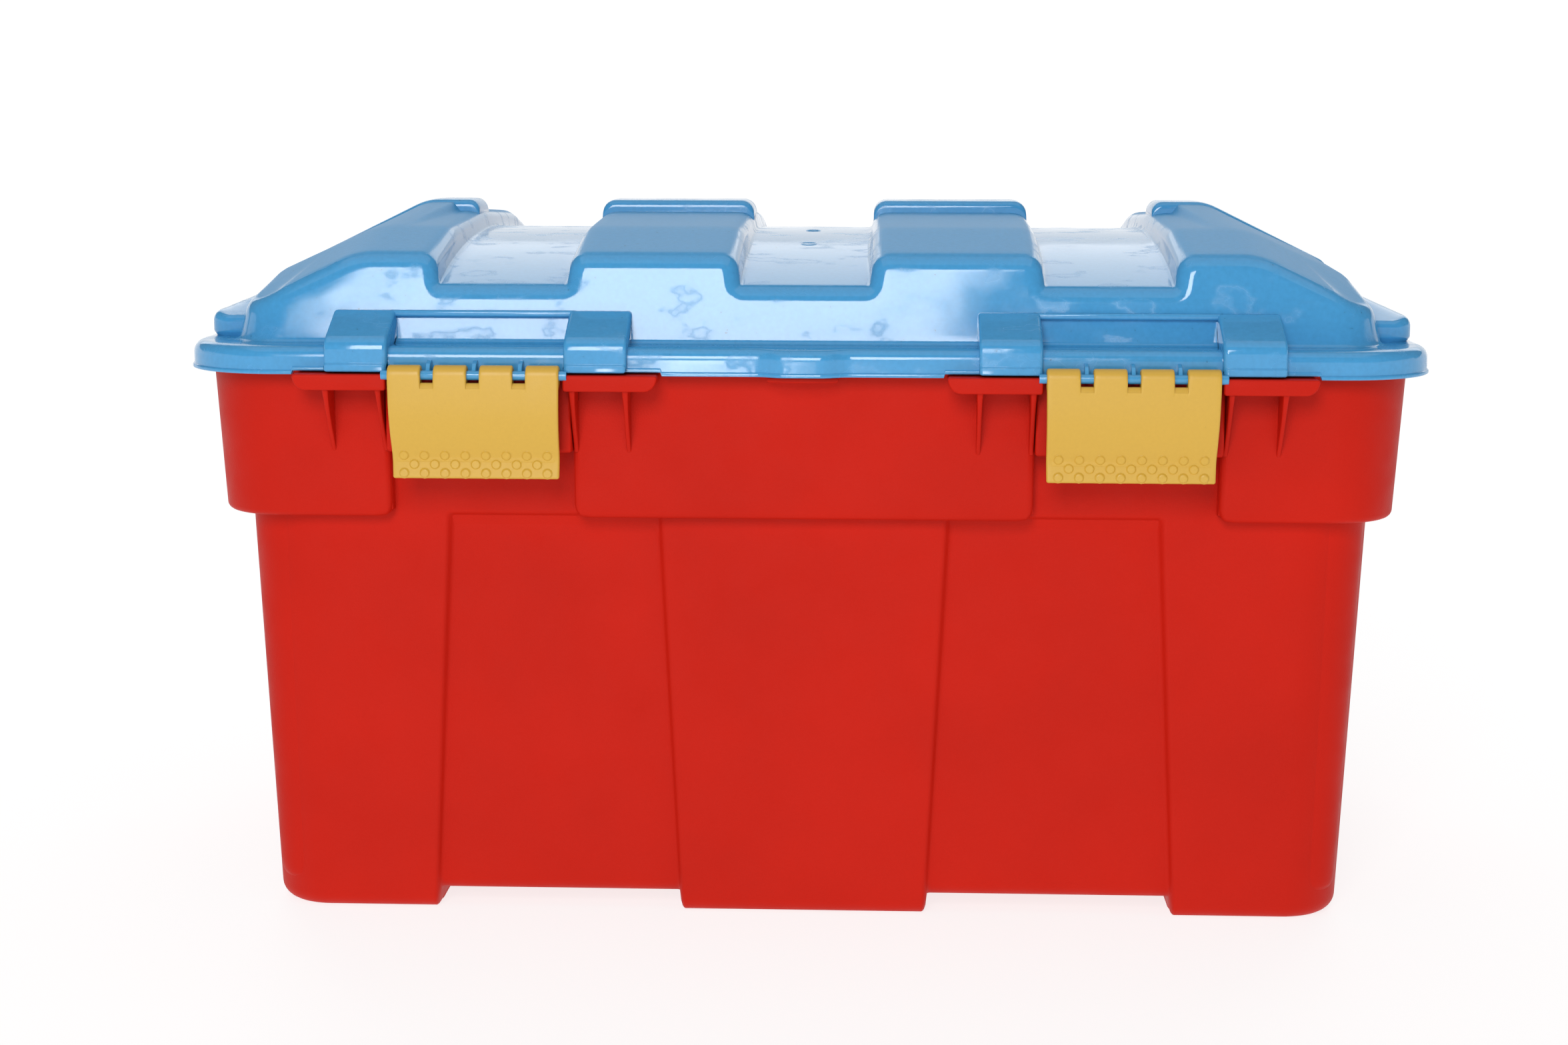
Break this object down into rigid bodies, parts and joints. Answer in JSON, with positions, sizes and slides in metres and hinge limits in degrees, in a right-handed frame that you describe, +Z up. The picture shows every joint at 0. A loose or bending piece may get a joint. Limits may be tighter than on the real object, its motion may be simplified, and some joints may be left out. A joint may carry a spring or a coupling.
{
  "type": "storage trunk",
  "caption": "Moulded-plastic storage trunk: a tapered tub with feet and a collar, a domed banded lid hinged at the back, and push-fit clips that latch the lid and swing out to free it.",
  "frame": {"origin": "middle of the footprint, on the surface that the feet stand on", "axes": "+X along the trunk to the right as seen from the front, +Y from the front to the back, +Z up"},
  "size_m": [0.618, 0.433, 0.3588],
  "materials": {
    "tub_plastic": "fine moulded texture",
    "lid_plastic": "polished",
    "clip_plastic": "satin"
  },
  "bodies": {
    "tub": {"tub": "tub_plastic"},
    "lid": {"lid": "lid_plastic"},
    "front_latch_right": {"front_latch_right": "clip_plastic"},
    "front_latch_left": {"front_latch_left": "clip_plastic"},
    "hinge_clip_right": {"hinge_clip_right": "clip_plastic"},
    "hinge_clip_left": {"hinge_clip_left": "clip_plastic"}
  },
  "joints": [
    {"name": "lid_hinge", "type": "hinge", "parent": "tub", "child": "lid", "pos_m": [0, 0.2115, 0.281], "axis": [-1, 0, 0], "range_deg": [0, 100]},
    {"name": "front_latch_right_pivot", "type": "hinge", "parent": "lid", "child": "front_latch_right", "pos_m": [0.1586, -0.2115, 0.281], "axis": [-1, 0, 0], "range_deg": [0, 120]},
    {"name": "front_latch_left_pivot", "type": "hinge", "parent": "lid", "child": "front_latch_left", "pos_m": [-0.1586, -0.2115, 0.281], "axis": [-1, 0, 0], "range_deg": [0, 120]},
    {"name": "hinge_clip_right_release", "type": "hinge", "parent": "tub", "child": "hinge_clip_right", "pos_m": [0.1586, 0.2115, 0.281], "axis": [1, 0, 0], "range_deg": [0, 60]},
    {"name": "hinge_clip_left_release", "type": "hinge", "parent": "tub", "child": "hinge_clip_left", "pos_m": [-0.1586, 0.2115, 0.281], "axis": [1, 0, 0], "range_deg": [0, 60]}
  ]
}
